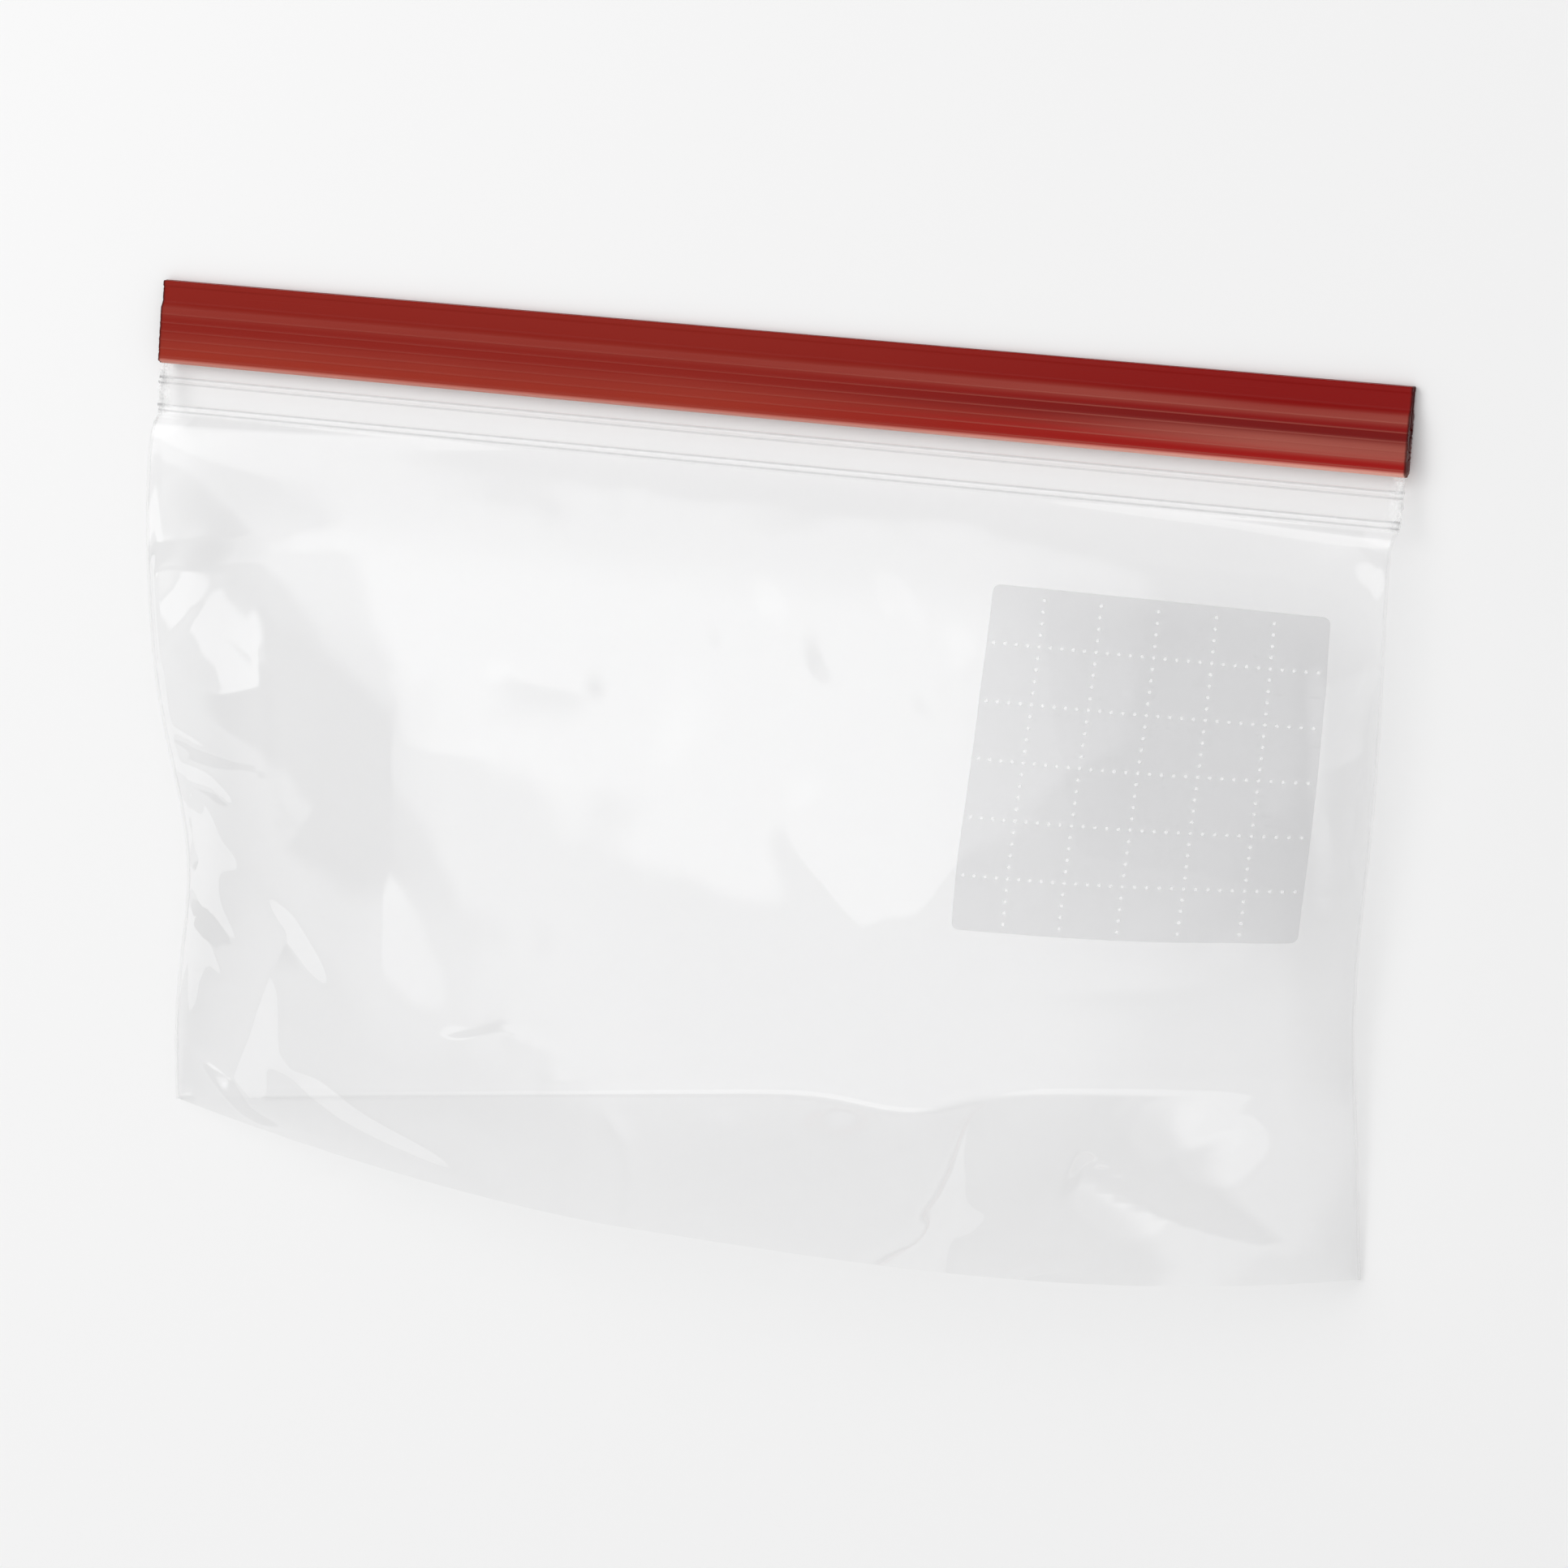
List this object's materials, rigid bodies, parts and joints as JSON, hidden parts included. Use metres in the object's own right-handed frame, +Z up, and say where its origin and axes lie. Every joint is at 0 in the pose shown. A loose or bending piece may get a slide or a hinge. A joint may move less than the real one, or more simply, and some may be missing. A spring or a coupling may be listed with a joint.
{
  "type": "zip freezer bag",
  "caption": "Empty clear freezer bag lying on its back, shut with a ridged red strip and a clear second track, with a grey writing panel.",
  "frame": {"origin": "under the middle of the bag, on the surface that it lies on", "axes": "+X along the closing strip, +Y from the bottom fold to the closing strip, +Z up out of the printed front film"},
  "size_m": [0.2348, 0.1524, 0.0365],
  "materials": {
    "clear_film": "thin clear polyethylene film, soft gloss",
    "grey_print": "matt grey print with rows of white dots",
    "red_strip": "slightly translucent red polyethylene, ridged, glossy",
    "clear_track": "clear polyethylene profile"
  },
  "bodies": {
    "root": {"film_pouch": "clear_film", "writing_panel": "grey_print", "closing_strip_front": "red_strip", "closing_strip_back": "red_strip", "clear_track_front": "clear_track", "clear_track_back": "clear_track"}
  },
  "joints": []
}
